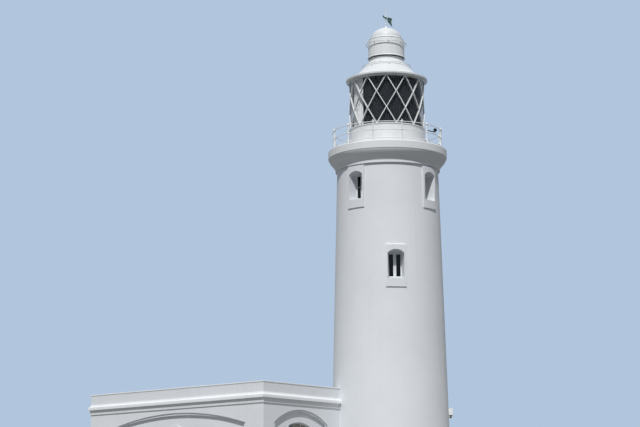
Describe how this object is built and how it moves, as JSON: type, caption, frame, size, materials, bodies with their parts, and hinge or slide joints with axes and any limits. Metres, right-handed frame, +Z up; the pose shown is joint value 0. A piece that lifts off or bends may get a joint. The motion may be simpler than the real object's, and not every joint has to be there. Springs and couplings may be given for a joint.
{
  "type": "lighthouse with a low side building",
  "caption": "White masonry lighthouse: tapering round tower, railed gallery, diagonal-lattice lantern, domed ventilator with a turning wind vane, and an attached low flat-roofed building.",
  "frame": {"origin": "the tower's axis at ground level", "axes": "+Z up the tower; +X out of the low building's short face; -Y out of its long face"},
  "size_m": [18.05, 12.907, 27.15],
  "materials": {
    "masonry": "white limewashed render",
    "white_iron": "white gloss paint",
    "lantern_glass": "clear plate",
    "window_glass": "clear sheet",
    "joinery": "white paint",
    "white_cloth": "matte weave",
    "dark_cloth": "matte weave",
    "green_iron": "dark green paint",
    "door_paint": "dark green paint",
    "roof_screed": "grey screed"
  },
  "bodies": {
    "lighthouse": {"annex_coping": "masonry", "annex_cornice": "masonry", "annex_door": "door_paint", "annex_door_hood": "masonry", "annex_floor": "masonry", "annex_roof": "roof_screed", "annex_window_frames": "joinery", "annex_window_panes": "window_glass", "dark_blind": "dark_cloth", "door_head": "masonry", "door_piers": "masonry", "drum_ring_rail": "white_iron", "east_wall": "masonry", "east_wall_spandrels": "masonry", "finial": "white_iron", "first_floor": "masonry", "gallery_cornice": "masonry", "gallery_deck": "masonry", "gallery_door": "white_iron", "glazing_lattice": "white_iron", "ground_floor": "masonry", "lantern_head_ring": "white_iron", "lantern_panes": "lantern_glass", "lantern_roof": "white_iron", "lantern_sill": "white_iron", "lantern_soffit": "white_iron", "lantern_wall_axes": "white_iron", "lantern_wall_diagonals": "white_iron", "lower_wall_axes": "masonry", "lower_wall_diagonals": "masonry", "mid_rail": "white_iron", "mid_wall_axes": "masonry", "mid_wall_diagonals": "masonry", "mid_window_piers": "masonry", "mid_window_spandrels": "masonry", "north_wall": "masonry", "north_wall_spandrels": "masonry", "railing_stanchions": "white_iron", "roof_ring_rail": "white_iron", "second_floor": "masonry", "side_lamp": "green_iron", "south_wall": "masonry", "south_wall_head": "masonry", "toe_rail": "white_iron", "top_rail": "white_iron", "tower_door": "door_paint", "upper_wall_diagonals": "masonry", "upper_window_piers": "masonry", "upper_window_spandrels": "masonry", "ventilator_dome": "white_iron", "ventilator_drum": "white_iron", "ventilator_neck": "white_iron", "wall_lamp": "white_iron", "west_wall": "masonry", "west_wall_spandrels": "masonry", "white_blind": "white_cloth", "window_frames": "joinery", "window_panes": "window_glass"},
    "vane": {"wind_vane": "green_iron"}
  },
  "joints": [
    {"name": "vane_turn", "type": "hinge", "parent": "lighthouse", "child": "vane", "pos_m": [0, 0, 26.56], "axis": [0, 0, 1], "continuous": true}
  ]
}
